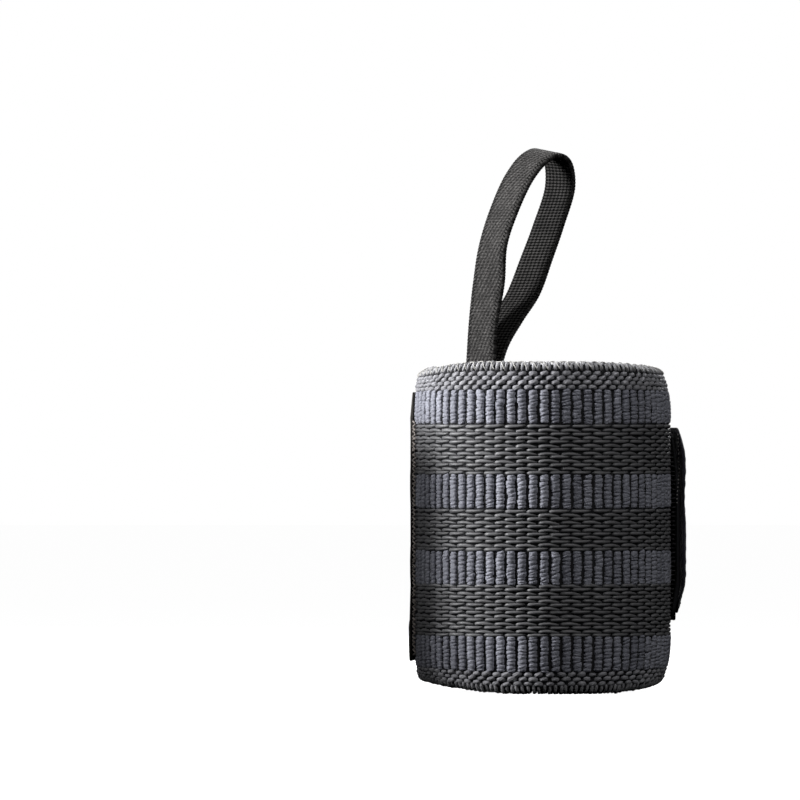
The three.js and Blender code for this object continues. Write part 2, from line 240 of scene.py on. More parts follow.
def piece(name, rings, material, slot, *nodes, girth=1.0, painted_shade=0.0):
    """A piece made of closed shells. rings is an array of shell, ring, point, xyz in millimetres, on the
    roll. The UV map holds the length along the shell, shifted from shell to shell, and the length round
    it, from girth, which is the whole way round or each point's own place. The shade is a number of the
    shell's own, less painted shade at each ring: rings where the yarn is notched, tucked under or dives
    into the cloth are painted darker, for the shade that falls there."""
    shells, count, around = rings.shape[:3]
    points = join([rings.reshape(shells, -1, 3), rings[:, [0, -1]].mean(axis=2)], axis=1)
    steps = np.linalg.norm(np.diff(rings.mean(axis=2), axis=1), axis=-1)
    run = join([np.zeros((shells, 1)), np.cumsum(steps, axis=1)], axis=1)
    run = run + SHELL_SHIFT * arange(shells)[:, None]
    way_round = linspace(0, girth, around + 1) if np.ndim(girth) == 0 else np.append(girth, girth[0])
    first_point = arange(shells)[:, None, None] * points.shape[1]
    corners, sizes, uv = [], [], []
    for face_points, ring, step in shell_faces(count, around):
        corners.append((face_points + first_point).ravel())
        sizes.append(np.full(shells * len(face_points), face_points.shape[1]))
        uv.append(places(run[:, ring], way_round[step]).ravel())
    corners, sizes, uv = (join(part) for part in (corners, sizes, uv))
    mesh = bpy.data.meshes.new(name)
    mesh.vertices.add(points.size // 3)
    mesh.vertices.foreach_set("co", ((points + AXIS_AT) * MM).astype(np.float32).ravel())
    mesh.loops.add(len(corners))
    mesh.loops.foreach_set("vertex_index", corners.astype(np.int32))
    mesh.polygons.add(len(sizes))
    mesh.polygons.foreach_set("loop_start", (np.cumsum(sizes) - sizes).astype(np.int32))
    mesh.update(calc_edges=True)
    mesh.polygons.foreach_set("use_smooth", np.ones(len(sizes), bool))
    mesh.uv_layers.new(name="UVMap").data.foreach_set("uv", uv.astype(np.float32))
    # Each shell's own random tone, less the painted shade at its darkened rings.
    own = np.broadcast_to(random.random((shells, 1)) - painted_shade, (shells, count))
    shade = join([np.repeat(own, around, axis=1), own[:, [0, -1]]], axis=1)
    attribute = mesh.attributes.new("shade", "FLOAT", "POINT")
    attribute.data.foreach_set("value", shade.astype(np.float32).ravel())
    mesh.materials.append(bpy.data.materials[material])
    made = placed(name, mesh)
    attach(made, "root")
    if nodes:
        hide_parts(*nodes)
    return made


# Materials
SHEEN_ROUGHNESS = 0.4
STREAK_RANGE, TONE_RANGE, TONE_AND_PAINTED_SHADE_WEIGHT = (0.32, 0.66), (0.4, 1.9), 0.6
YARN_RELIEF, KNIT_RELIEF = 0.15, 0.2


class Fabric:
    """A material with a Principled shader, and the ways in which its nodes are added."""

    def __init__(self, name, roughness, sheen=0.0, specular=0.4):
        self.material = bpy.data.materials.new(name)
        self.material.use_nodes = True
        self.tree = self.material.node_tree
        self.inputs = self.tree.nodes["Principled BSDF"].inputs
        self.dress({"Roughness": roughness, "Specular IOR Level": specular, "Sheen Weight": sheen,
                    "Sheen Roughness": SHEEN_ROUGHNESS})

    def dress(self, looks):
        """Feeds the shader's inputs."""
        for key, value in looks.items():
            self.feed(self.inputs[key], value)

    def feed(self, socket, value):
        """Links an input to another node's output, or sets it to a number."""
        if isinstance(value, bpy.types.NodeSocket):
            self.tree.links.new(value, socket)
        else:
            socket.default_value = value

    def add(self, kind, output, **values):
        """Adds a node with some of its settings and inputs, and gives one of its outputs."""
        node = self.tree.nodes.new(kind)
        for key, value in values.items():
            if key in node.inputs:
                self.feed(node.inputs[key], value)
            else:
                setattr(node, key, value)
        return node.outputs[output]

    def maths(self, operation, *values):
        """One sum of outputs and numbers."""
        node = self.tree.nodes.new("ShaderNodeMath")
        node.operation = operation
        for socket, value in zip(node.inputs, values):
            self.feed(socket, value)
        return node.outputs["Value"]

    def times(self, one, other):
        return self.maths("MULTIPLY", one, other)

    def ranged(self, value, low, high, to_low=0.0, to_high=1.0, kind="SMOOTHSTEP"):
        """Turns a value's way from low to high into the way from to_low to to_high."""
        limits = {"From Min": low, "From Max": high, "To Min": to_low, "To Max": to_high}
        return self.add("ShaderNodeMapRange", "Result", interpolation_type=kind, Value=value, **limits)

    def noise(self, place, scale, detail, roughness):
        return self.add("ShaderNodeTexNoise", "Fac", Vector=place, Scale=scale, Detail=detail,
                        Roughness=roughness)

    def stretched(self, place, lean, along, across):
        """Places for a noise that is so long along and across, turned by lean in radians."""
        return self.add("ShaderNodeMapping", "Vector", vector_type="TEXTURE", Vector=place,
                        Rotation=(0, 0, lean), Scale=(along, across, 1))

    def coloured(self, tone, dark, light, height, bump, relief, clamped=True):
        """Runs the colour from dark to light with the tone, and bumps the surface by the height."""
        colour = self.add("ShaderNodeMix", "Result", data_type="RGBA", clamp_factor=clamped,
                          Factor=tone, A=(*dark, 1), B=(*light, 1))
        normal = self.add("ShaderNodeBump", "Normal", Height=height, Strength=bump, Distance=relief * MM)
        self.dress({"Base Color": colour, "Normal": normal})


def yarn(name, dark, light, thread, lean, bump, roughness, sheen, specular=0.4, stretch=6):
    """Bundled or twisted yarn: its colour follows streaks, a fine grain and the shade attribute, which is
    the yarn's own tone less the painted shade at its darkened rings.
    The streaks are a noise as long as the thread is thick, and a few times that across the yarn."""
    fabric = Fabric(name, roughness, sheen, specular)
    place = fabric.add("ShaderNodeUVMap", "UV", uv_map="UVMap")
    own = fabric.add("ShaderNodeAttribute", "Fac", attribute_name="shade")
    streaks = fabric.noise(fabric.stretched(place, lean, thread, stretch * thread), 1.0, 2.0, 0.6)
    clear = fabric.ranged(streaks, *STREAK_RANGE, kind="LINEAR")
    height = fabric.maths("ADD", clear, fabric.noise(place, 1.8, 5.0, 0.65))
    # The shade attribute carries the yarn's own tone and the painted shade of its creases.
    shaded = fabric.maths("MULTIPLY_ADD", own, TONE_AND_PAINTED_SHADE_WEIGHT, height)
    tone = fabric.ranged(shaded, *TONE_RANGE, kind="LINEAR")
    fabric.coloured(tone, dark, light, height, bump, YARN_RELIEF)


YARNS = {
    # dark, light, thickness of a thread, lean of the streaks, bump, roughness, sheen, and where
    # they aren't 0.4 and 6, specular and stretch of the streaks
    "blue_grey_rib_yarn": ((0.13, 0.134, 0.168), (0.42, 0.43, 0.5), 0.3, 0.1, 0.8, 0.55, 0.2, 0.4, 3.5),
    "charcoal_float_yarn": ((0.1, 0.1, 0.105), (0.2, 0.2, 0.209), 0.22, 1.5, 0.3, 0.46, 0.05, 0.55),
    "grey_selvedge_yarn": ((0.175, 0.175, 0.194), (0.45, 0.45, 0.48), 0.24, 1.0, 0.9, 0.55, 0.2),
    # A copy of the selvedge yarn, about half as light again: the extra lightness is painted light, as on
    # the top rim catching the light from above.
    "grey_rim_yarn_with_painted_light": ((0.255, 0.255, 0.272), (0.66, 0.66, 0.686), 0.24, 1.0, 0.9, 0.55, 0.2),
    "pale_locking_thread": ((0.35, 0.342, 0.325), (0.62, 0.61, 0.585), 0.2, 0.8, 0.3, 0.5, 0.1),
    "black_ground_weave": ((0.005, 0.005, 0.006), (0.03, 0.03, 0.033), 0.45, 0.0, 0.6, 0.8, 0.0, 0.1),
    "navy_suede": ((0.007, 0.007, 0.011), (0.034, 0.0325, 0.05), 0.4, 0.8, 0.6, 0.9, 0.25, 0.1, 1.4),
    "black_tape_weave": ((0.004, 0.004, 0.005), (0.02, 0.02, 0.023), 0.55, 0.0, 0.5, 0.8, 0.0, 0.2),
    "black_nylon_hooks": ((0.014, 0.014, 0.016), (0.06, 0.06, 0.064), 0.5, 0.0, 0.05, 0.35, 0.0, 0.5),
    "dark_seam_thread": ((0.02, 0.02, 0.026), (0.07, 0.068, 0.08), 0.35, 1.2, 0.3, 0.5, 0.1),
    "grey_lockstitch_thread": ((0.2, 0.2, 0.2), (0.5, 0.49, 0.47), 0.35, 1.2, 0.3, 0.5, 0.1),
    "brown_zigzag_thread": ((0.15, 0.132, 0.12), (0.42, 0.38, 0.355), 0.35, 1.2, 0.4, 0.6, 0.1),
    "warm_grey_twill": ((0.016, 0.0145, 0.013), (0.06, 0.054, 0.05), 0.2, 0.75, 0.8, 0.85, 0.15, 0.2, 3.5),
}
for yarn_name, look in YARNS.items():
    yarn(yarn_name, *look)


# The weave's places along the flat webbing. Gap 0 is in the front of the outer turn, and past the
# last visible gap the outer face lies under the turn outside it.
GAP_TURN, VISIBLE_TURN, WEAVE_MARGIN = 131.3, 372.0, 1.0
GAP_START, VISIBLE_LENGTH = np.interp((GAP_TURN, VISIBLE_TURN), TURNS, LENGTHS)
FIRST_GAP = int(np.ceil((WEAVE_MARGIN - GAP_START) / RIB_PITCH))
LAST_GAP = int(np.floor((LENGTH - WEAVE_MARGIN - GAP_START) / RIB_PITCH))
VISIBLE_GAP = int((VISIBLE_LENGTH - GAP_START) / RIB_PITCH)
INNER_GAP = int((LENGTH - VISIBLE_LENGTH - GAP_START) / RIB_PITCH)


def gap_at(number):
    """The length along the flat webbing of a gap between ribs."""
    return GAP_START + RIB_PITCH * np.asarray(number, float)


def webbing_piece(name, flat, material, girth, painted_shade=0.0):
    """A piece of the webbing, from rings on the flat webbing."""
    return piece(name, wind(flat), material, "elastic_webbing", "webbing", girth=girth, painted_shade=painted_shade)


def ground_weave():
    """The dark cloth under the yarns: an upright oblong section with round ends, carried along."""
    along = linspace(GROUND_MARGIN, LENGTH - GROUND_MARGIN, GROUND_STEPS)
    rows = WIDTH / 2 + (WIDTH / 2 - GROUND_INSET) * spaced(GROUND_ROWS, 1)
    face = np.full(GROUND_ROWS, GROUND_HALF_DEPTH)
    turn = linspace(0, pi, 5)[1:-1]
    bulge, depth = GROUND_ROUND * sin(turn), GROUND_HALF_DEPTH * cos(turn)
    heights = join([rows, WIDTH - GROUND_INSET + bulge, rows[::-1], GROUND_INSET - bulge])
    depths = join([face, depth, -face, -depth])
    flat = places(along[:, None], heights[::-1], depths[::-1])[None]
    return webbing_piece("ground_weave", flat, "black_ground_weave", 160)


def ribs(name, numbers, around):
    """Upright ribs between neighbouring gaps: tubes with squarish sections and blunt ends. Each is
    a stack of bunches of thread of uneven heights, with a ring at every boundary. From a notch at a
    boundary it swells to its full size by a sixth power. The boundaries slant, and each bunch has
    its own size and is pushed aside a little."""
    half_width, half_depth, deep_swell, squareness = 1.1, 1.22, 0.9, 3.2
    overlap, tip_size, tip_length, tip_inset = 0.1, 0.4, 0.5, 0.05
    notch_depth, size_swell, aside, sway, sway_length = 0.3, 0.05, 0.06, 0.05, 5.1
    low, high = (np.repeat(x, len(numbers))[:, None] for x in np.transpose(RIB_STRIPES))
    centre = np.tile(gap_at(numbers) + RIB_PITCH / 2, len(RIB_STRIPES))[:, None]
    low = low + jitter(0.1, low) - overlap
    high = high + jitter(0.1, high) + overlap
    bunches, boundaries = (len(low), BUNCHES), (len(low), BUNCHES + 1)
    heights = np.cumsum(random.uniform(*BUNCH_HEIGHTS, bunches), axis=1)
    edges = join([np.zeros_like(low), heights / heights[:, -1:]], axis=1)
    at = np.append(np.add.outer(arange(BUNCHES), BUNCH_RINGS).ravel(), BUNCHES)
    at[0], at[-1] = tip_inset, BUNCHES - tip_inset
    number = np.minimum(at.astype(int), BUNCHES - 1)
    within = at - number
    share = edges[:, number] + (edges[:, number + 1] - edges[:, number]) * within
    height = low + (high - low) * share
    size = random.uniform(-1, 1, bunches)[:, number]
    push = random.normal(0, 1, bunches)[:, number]
    tilt = random.normal(0.12, 0.16, boundaries)
    tilt[:, [0, -1]] = 0
    tilt = tilt[:, number] * (1 - within) + tilt[:, number + 1] * within
    bulge = 1 - off_middle(within, 6)
    notch = notch_depth * random.uniform(0.4, 1.3, boundaries)
    notch = np.where(within < 0.5, notch[:, number], notch[:, number + 1])
    swell = (bulge - 1) * notch + size_swell * size * bulge
    wave = sin(2 * pi * (height / sway_length + random.uniform(0, 1, low.shape)))
    to_end = np.minimum(height - low, high - height)
    round_end = np.sqrt(1 - np.clip(1 - to_end / tip_length, 0, 1) ** 2)
    tip = tip_size + (1 - tip_size) * round_end
    path = places(centre + (aside * push * bulge + sway * wave), height, 0)
    deep, wide = half_depth + deep_swell * swell, half_width + swell
    made = tube_rings(path, OUTWARD, deep * tip, around, wide * tip, squareness)
    made[..., 1] += tilt[..., None] * (made[..., 0] - path[:, :, None, 0])
    # Painted shade: the notches between bunches and the blunt tips of each rib are painted darker, for the
    # shade that falls in them.
    painted_shade = 1.15 * (1 - bulge) * notch / notch_depth + 0.8 * (1 - tip)
    return webbing_piece(name, made, "blue_grey_rib_yarn", 7.6, painted_shade)


def floats(name, first, last, side, around, rings):
    """Long floats that each pass over two ribs, in rows. A row starts at even gaps and the row
    above it, of the same pair, at odd ones. Each has a thick head and thins out towards its tail,
    which goes in under the pair's other row: the lower row's tail climbs and the upper one's sinks."""
    half_height, half_depth, stand, dive = 0.43, 0.4, 0.76, 0.45
    early, overlap, tail_climb, head_climb, tail_sink = 0.12, 0.1, 0.34, 0.1, 0.3
    rows = []
    for top, below, drop, capped in FLOAT_STRIPES:
        for k in range(below + 1):
            rows.append((top - k * drop, 0))
            if k > 0 or capped:
                rows.append((top - k * drop + FLOAT_PAIR, 1))
    known = len(FLOAT_RINGS)
    t = np.interp(linspace(0, known - 1, rings), arange(known), FLOAT_RINGS)
    upper = head_climb * fade(t, 0.03, 0.25) - tail_sink * fade(t, 0.5, 1.0)
    climbs = (tail_climb * fade(t, 0.62, 1.0), upper)
    depth = side * (stand - dive * (1 - fade(t, 0, 0.1)) - dive * fade(t, 0.62, 1))
    paths = []
    for height, odd in rows:
        numbers = arange(first + (first + odd) % 2, last - 1, 2)
        start = gap_at(numbers)[:, None] - early + jitter(0.06, numbers)
        along = start + (2 * RIB_PITCH + overlap) * t
        wave = jitter(0.05, numbers) + jitter(0.07, numbers) * (t - 0.5)
        level = height + climbs[odd] + wave
        paths.append(places(along, level, depth))
    path = join(paths)
    tip = blunt(t, 11, 0.9) * (1.06 - 0.34 * fade(t, 0.3, 1.0))
    fat = 1 + jitter(0.06, path)
    made = tube_rings(path, UPWARD, half_height * tip * fat, around, half_depth * tip * fat)
    # Painted shade: each float is painted darker at its tail, where it goes in under the other row, and at
    # the start of its head.
    painted_shade = 1.6 * fade(t, 0.75, 1) + 1.2 * (1 - fade(t, 0, 0.06))
    return webbing_piece(name, made, "charcoal_float_yarn", 2.4, painted_shade)


def plain_weave(name, first, last, side):
    """Short bumps of thick yarn, in rows that are staggered by half a rib, each leaning a little.
    They stand well out of the ground and dive into it at both ends, by a fourth power."""
    length, lean, stand, dive, half, squareness = 2.0, 0.3, 0.58, 0.75, 0.6, 2.6
    t = np.array(PLAIN_RINGS)
    numbers = arange(first, last)
    paths, sizes = [], []
    for height, step in PLAIN_ROWS:
        centre = gap_at(numbers + step)[:, None] + jitter(0.09, numbers)
        along = centre + (length + jitter(0.17, numbers)) * (t - 0.5)
        level = height + (lean + jitter(0.3, numbers)) * (t - 0.5) + jitter(0.06, numbers)
        depth = stand - dive * off_middle(t, 4) + jitter(0.05, numbers)
        paths.append(places(along, level, side * depth))
        size = 1 + jitter(0.08, numbers)
        sizes.append(size + 0.16 * random.uniform(-1, 1, size.shape) * (t - 0.5))
    tip = half * (blunt(t, 4, 0.85) * join(sizes))
    made = tube_rings(join(paths), UPWARD, tip, 8 if side > 0 else 6, squareness=squareness)
    # Painted shade: both ends of each bump, where it dives into the ground, are painted darker.
    return webbing_piece(name, made, "grey_selvedge_yarn", 3.8, 1.8 * off_middle(t, 3))


def selvedge_loops(name, edge, inwards):
    """Loops of yarn over an edge: up one face, over in half an ellipse, and down the other face.
    They lean in towards the axis, by the rise to the power 1.5."""
    foot, widening, half_span, leg, arch, foot_inset = 0.64, 0.1, 0.74, 0.9, 1.05, 2.3
    lean, skew, radius, foot_size = 0.5, 0.12, 0.41, 0.6
    numbers = arange(LOOPS_PER_RIB * FIRST_GAP + 1, LOOPS_PER_RIB * LAST_GAP - 1)
    centre = gap_at(numbers / LOOPS_PER_RIB)[:, None] + jitter(0.07, numbers)
    up = np.array([0, 0.5])
    a = linspace(0, pi, 8)
    across = join([foot + widening * up, half_span * cos(a), -foot - widening * up[::-1]])
    rise = join([leg * up, leg + arch * sin(a), leg * up[::-1]])
    height = edge + inwards * (foot_inset - rise) + jitter(0.07, numbers) * (rise > 0.5)
    along = centre + skew * linspace(-1, 1, len(rise)) * jitter(1, numbers)
    depth = -inwards * across - lean * (rise / rise.max()) ** 1.5
    tip = np.ones(len(rise)) * (1 + jitter(0.1, numbers))
    tip[:, [0, -1]] *= foot_size
    made = tube_rings(places(along, height, depth), ALONG, radius * tip, 7)
    # Painted shade: the feet of each loop, where it goes into the cloth, are painted darker.
    return webbing_piece(name, made, "grey_rim_yarn_with_painted_light", 2.8, 1.8 * (1 - fade(rise, 0.2, 1.3)))


def edge_threads():
    """The pale locking thread, one stitch a rib: along the crest of the rim, then slanting down over
    the loops in a quarter of an ellipse, and into the cloth."""
    length, slope, ellipse_from, ellipse_rise, ellipse_depth = 2.7, 0.72, 1.38, 1.42, 1.14
    numbers = arange(FIRST_GAP + 1, LAST_GAP - 2)
    t = linspace(0, 1, 12)
    along = gap_at(numbers)[:, None] + jitter(0.14, numbers) + length * t
    around = pi / 2 * (slope - slope * fade(t, 0.4, 0.85)) + jitter(0.06, numbers)
    height = WIDTH - ellipse_from + ellipse_rise * sin(around)
    height = height - 0.7 * fade(t, 0.75, 1) - 0.5 * (1 - fade(t, 0, 0.12))
    depth = ellipse_depth * cos(around) - 0.35 * fade(t, 0.88, 1) - 0.4 * sin(around)
    made = tube_rings(places(along, height, depth), OUTWARD, 0.14 * blunt(t, 8, 0.8), 5)
    return webbing_piece("rim_locking_thread", made, "pale_locking_thread", 0.9)


ground = ground_weave()
yarns = [
    ribs("outer_ribs", arange(FIRST_GAP, VISIBLE_GAP), RIB_SECTION),
    ribs("inner_ribs", arange(INNER_GAP, LAST_GAP), 7),
    floats("outer_floats", FIRST_GAP, VISIBLE_GAP, 1, 7, 8),
    floats("inner_floats", INNER_GAP, LAST_GAP, -1, 5, 6),
    plain_weave("outer_plain_weave", FIRST_GAP, VISIBLE_GAP, 1),
    plain_weave("inner_plain_weave", INNER_GAP, LAST_GAP, -1),
    selvedge_loops("top_selvedge", WIDTH, -1),
    selvedge_loops("bottom_selvedge", 0.0, 1),
    edge_threads(),
]


# The thumb loop
LOOP_WIDTH, LOOP_THICKNESS = 10.0, 1.2
LOOP_ANGLE, LOOP_HEIGHT, LOOP_REACH = 222.0, 51.4, 25.5
LOOP_SEWN, LOOP_TWIST, LOOP_TILT, LOOP_CLEARANCE = 18.0, 9.0, 8.5, 0.5
LOOP_COURSE = (
    # reach, rise, twist and tilt, as shares
    (0.03, 0.19, -0.1, 0), (0.1, 0.38, 0.5, 0), (0.155, 0.56, -0.3, 0), (0.3, 0.73, -0.1, 0),
    (0.5, 0.89, 0, 0.4), (0.7, 0.98, 0, 0.8), (0.87, 1.004, -0.1, 1), (0.985, 0.966, -0.2, 0.6),
    (1.02, 0.85, 0.1, 0.2), (0.87, 0.66, 0.4, 0), (0.715, 0.5, 0.7, 0), (0.54, 0.33, 1, 0),
    (0.32, 0.2, 0.8, 0), (0.14, 0.07, 0.3, 0),
)
LOOP_STEPS, CURVE_SAMPLES = 640, 4001
KNIT_COURSE, KNIT_WALE, EDGE_STITCH, EDGE_SLANT = 0.79, 1.22, 0.89, 0.55
OUTER_COURSE, OUTER_WALE, OUTER_SLANT = 0.77, 1.29, -0.52
OUTER_FACE_AT = 4 * LOOP_WIDTH


def smooth_curve(points, steps):
    """A centripetal Catmull-Rom curve through points, whose knots are apart by the root of the
    distance in their first two columns, read at even lengths of arc. The other columns come along."""
    p = np.array([2 * points[0] - points[1], *points, 2 * points[-1] - points[-2]])
    knots = run_along(p[:, :2], 0.5)
    fine = linspace(knots[1], knots[-2], CURVE_SAMPLES)
    k = np.clip(np.searchsorted(knots, fine, side="right") - 1, 1, len(p) - 3)
    t0, t1, t2, t3 = (knots[k + d][:, None] for d in (-1, 0, 1, 2))
    p0, p1, p2, p3 = (p[k + d] for d in (-1, 0, 1, 2))
    t = fine[:, None]

    def between(start, end, before, after):
        return ((end - t) * before + (t - start) * after) / (end - start)

    a1, a2, a3 = between(t0, t1, p0, p1), between(t1, t2, p1, p2), between(t2, t3, p2, p3)
    line = between(t1, t2, between(t0, t2, a1, a2), between(t1, t3, a2, a3))
    run = run_along(line[:, :2])
    even = linspace(0, run[-1], steps)
    return stack([np.interp(even, run, column) for column in line.T], -1)


def loop_frame():
    """The band's middle line, its direction across and its outward direction. The line lies in an
    upright plane through the axis: both ends go up the wall, one on the other, and between them
    it follows the table. Across is level and square to the plane, turned by the twist and dipped
    by the tilt."""
    top = WIDTH - rim(LOOP_ANGLE, TOP_DIP)

    def curled(z):
        return rim_share(z) * rim(LOOP_ANGLE, PULL)

    def sewn(share, reach):
        z = top - share * LOOP_SEWN
        return (curled(z) + reach, z, 0, 0)

    rows = [sewn(share, 0) for share in (1, 2 / 3, 1 / 3, 0)]
    for reach, rise, twist, tilt in LOOP_COURSE:
        z = top + rise * (LOOP_HEIGHT - LOOP_THICKNESS / 2)
        rows.append((curled(top) + reach * LOOP_REACH, z, twist, tilt))
    rows += [sewn(share, LOOP_THICKNESS + CLEARANCE) for share in (1 / 3, 2 / 3, 1)]
    reach, z, twist, tilt = smooth_curve(np.array(rows), LOOP_STEPS).T
    wall = turn_radius(LOOP_ANGLE - END_ANGLE + 2 * 360) - THICKNESS / 2 - LOOP_CLEARANCE
    flat = np.sqrt(wall**2 - LOOP_WIDTH**2 / 4) - LOOP_THICKNESS / 2
    a = radians(LOOP_ANGLE)
    inward = np.array([-cos(a), -sin(a), 0])
    middle = -inward * flat + reach[:, None] * inward + z[:, None] * np.array([0, 0, 1])
    direction = unit(np.gradient(middle, axis=0))
    turned, dip = a + pi / 2 + radians(twist * LOOP_TWIST), radians(tilt * LOOP_TILT)
    across = places(cos(dip) * cos(turned), cos(dip) * sin(turned), -sin(dip))
    return middle, across, unit(np.cross(across, direction))


def thumb_loop():
    """The knitted band: an oblong section with round edges along the loop's line. Both edges are
    beaded by the stitches, as the cosine of the run. The shade tells the faces apart: 1 on the one
    that looks out, -1 inside the loop, 0 on the edges."""
    middle, across, out = loop_frame()
    run = run_along(middle)[:, None]
    half, thick, columns, round_off, bead, rough = LOOP_WIDTH / 2, LOOP_THICKNESS / 2, 12, 0.4, 0.07, 0.02
    q = linspace(-1, 1, columns) * (half - round_off)
    end = radians([55, 18, -18, -55])
    side_q, side_t = half - round_off + round_off * cos(end), thick * sin(end)
    face_t = np.full(columns, thick)
    place = join([q, side_q, q[::-1], -side_q[::-1]])
    level = join([face_t, side_t, -face_t, -side_t])
    face = np.repeat([1, 0, -1, 0], [columns, len(end), columns, len(end)])
    at_edge = np.abs(place) > half - 2 * round_off
    beaded = bead * cos(2 * pi * run / KNIT_COURSE) * at_edge
    total = level + random.normal(0, rough, (LOOP_STEPS, len(place))) * (face == 1)
    spread = place + beaded * np.sign(place)
    rings = middle[:, None] + spread[..., None] * across[:, None] + total[..., None] * out[:, None]
    girth = np.where(face == -1, place, place + OUTER_FACE_AT)
    band = piece("thumb_loop_band", rings[None], "charcoal_knit", "knitted_elastic", "thumb_loop",
                 girth=girth)
    side = np.append(np.tile(face, LOOP_STEPS), [0, 0]).astype(np.float32)
    band.data.attributes["shade"].data.foreach_set("value", side)


def knit(name, dark, light, grain_size, roughness):
    """Knitted band. The face inside the loop, where the shade is -1, is light on the stitches and painted
    black between them, for the shade in each hole: the sum of a cosine along and one across. The face that
    looks out, where it is 1, is a lattice of courses and slanting wales, the sum of two cosines again. It
    is mottled by a noise of stitch size, with dark slants near its edges, which are painted shade in the
    rows of stitch hole there. Its rounded edges, where the shade is 0, are a fifth darker."""
    fabric = Fabric(name, roughness, 0.0, 0.04)
    maths, ranged, times = fabric.maths, fabric.ranged, fabric.times
    place = fabric.add("ShaderNodeUVMap", "UV", uv_map="UVMap")
    side = fabric.add("ShaderNodeAttribute", "Fac", attribute_name="shade")
    run = fabric.add("ShaderNodeSeparateXYZ", "X", Vector=place)
    place_across = fabric.add("ShaderNodeSeparateXYZ", "Y", Vector=place)

    def wave(value, period):
        return maths("COSINE", times(value, 2 * pi / period))

    mottle = fabric.noise(fabric.stretched(place, 0, grain_size, 1.5 * grain_size), 1.0, 1.0, 0.5)
    speckle = ranged(mottle, 0.33, 0.67, 0.45, 1.2)
    uneven = ranged(fabric.noise(place, 0.3, 2.0, 0.5), 0.3, 0.7, 0.75, 1.15)
    # Painted shade: the grid is painted black in each hole between the stitches.
    grid = maths("MULTIPLY_ADD", wave(place_across, KNIT_WALE), 0.8, wave(run, KNIT_COURSE))
    inner = times(ranged(grid, -0.45, 0.65), maths("MULTIPLY_ADD", speckle, 0.3, 0.7))
    slanting = maths("MULTIPLY_ADD", run, OUTER_SLANT, place_across)
    lattice = maths("MULTIPLY_ADD", wave(run, OUTER_COURSE), 0.75, wave(slanting, OUTER_WALE))
    lattice = ranged(lattice, -1.2, 1.2, 0.4, 1.35)
    from_middle = maths("ABSOLUTE", maths("SUBTRACT", place_across, OUTER_FACE_AT))
    slants = wave(maths("MULTIPLY_ADD", from_middle, EDGE_SLANT, run), EDGE_STITCH)
    hem = times(ranged(from_middle, 3.4, 3.7), ranged(from_middle, 4.5, 4.8, 1.0, 0.2))
    # Painted shade in the slanting rows of stitch hole near the edges.
    hole_shade = times(hem, ranged(slants, -0.8, 0.0, 1.0, 0.0))
    open_share = maths("SUBTRACT", 1.0, times(hole_shade, 0.95))
    outer = times(times(speckle, lattice), open_share)
    outer = times(outer, ranged(side, 0.2, 0.8, 0.8, 1.0))
    mixed = fabric.add("ShaderNodeMix", "Result", data_type="FLOAT",
                       Factor=ranged(side, -0.6, -0.4, 1.0, 0.0), A=outer, B=inner)
    tone = times(mixed, uneven)
    fabric.coloured(tone, dark, light, tone, 0.7, KNIT_RELIEF, clamped=False)


knit("charcoal_knit", (0.002, 0.002, 0.002), (0.056, 0.054, 0.053), 0.42, 0.75)
thumb_loop()


# The closure tab: the hook tape and its facing
TAB_MIDDLE = WIDTH / 2 + 1.5
TAB_END_ANGLE, TAB_FREE_END, TAB_BEND = 0.0, 8.0, 0.4
TAB_TOP_DROOP, TAB_BOTTOM_DROOP = 0.3, 1.5
TAB_LENGTH = TAB_FREE_END / 2 + radians(END_ANGLE - TAB_END_ANGLE) * ROLL_RADIUS
TAPE_HALF, TAPE_THICKNESS, TAPE_ROOT, TAPE_SETBACK = 24.25, 1.1, 4.5, 1.5
TAPE_TOP_CORNER, TAPE_BOTTOM_CORNER = 20.0, 4.0
TAPE_END = TAB_LENGTH + TAPE_ROOT
FLARE_LENGTH, FLARE_UP, FLARE_DOWN = 5.0, 3.5, 5.0
FACING_HALF, FACING_THICKNESS, FACING_CORNER = 22.5, 1.0, 9.0
FACING_LOW = 2 * CLEARANCE + TAPE_THICKNESS
FURROW, SEAM_INSET = 0.22, 2.0
BINDING_THICKNESS = 0.8
FACING_END = TAB_LENGTH - (THICKNESS / 2 + CLEARANCE + BINDING_THICKNESS) - 2 * CLEARANCE
EDGE_TURN = radians([60, 30, 0, -30, -60])
STITCH_PITCH, STITCH_LENGTH, STITCH_START = 3.1, 2.5, 0.3


def tab_piece(name, flat, material, part, girth):
    """A piece of the closure tab, from rings on the flat tab. part is its slot, which is not used, and its
    node.
    """
    return piece(name, lay_on_tab(flat), material, *part, girth=girth)


FACING, TAPE = ("suede_facing", "tab_facing"), ("hook_tape", "hook_tape")


def lay_on_tab(flat):
    """Lays flat places on the tab: the length back from its free end, the height from its middle and
    the depth off the turn under it. It follows that turn, then goes straight on and bends away by
    the square of the length, and both edges of its free end droop towards the roll."""
    arc, height, depth = np.moveaxis(flat, -1, 0)
    past = np.maximum(TAB_FREE_END - arc, 0)
    laid = TAB_FREE_END / 2 + np.maximum(arc - TAB_FREE_END, 0)
    angle = TAB_END_ANGLE + np.degrees(laid / ROLL_RADIUS)
    a = radians(angle)
    radius = turn_radius(angle - END_ANGLE + 360) + THICKNESS / 2
    free = fade(past, 0, TAB_FREE_END)
    droop = TAB_TOP_DROOP * fade(height, 14, 23) + TAB_BOTTOM_DROOP * fade(-height, 14, 24.5)
    radius = radius + depth + TAB_BEND * (past / TAB_FREE_END) ** 2 - free * droop
    x, y = radius * cos(a) + past * sin(a), radius * sin(a) - past * cos(a)
    return places(x, y, TAB_MIDDLE + height)


def end_steps(start, corner, end, near, far):
    """Lengths that are close together round a corner at the start, and even after it."""
    first = 0.02
    turned = linspace(0, pi / 2, near, endpoint=False)
    close = start + first + (corner - first) * (1 - cos(turned))
    return join([close, linspace(start + corner, end, far)])


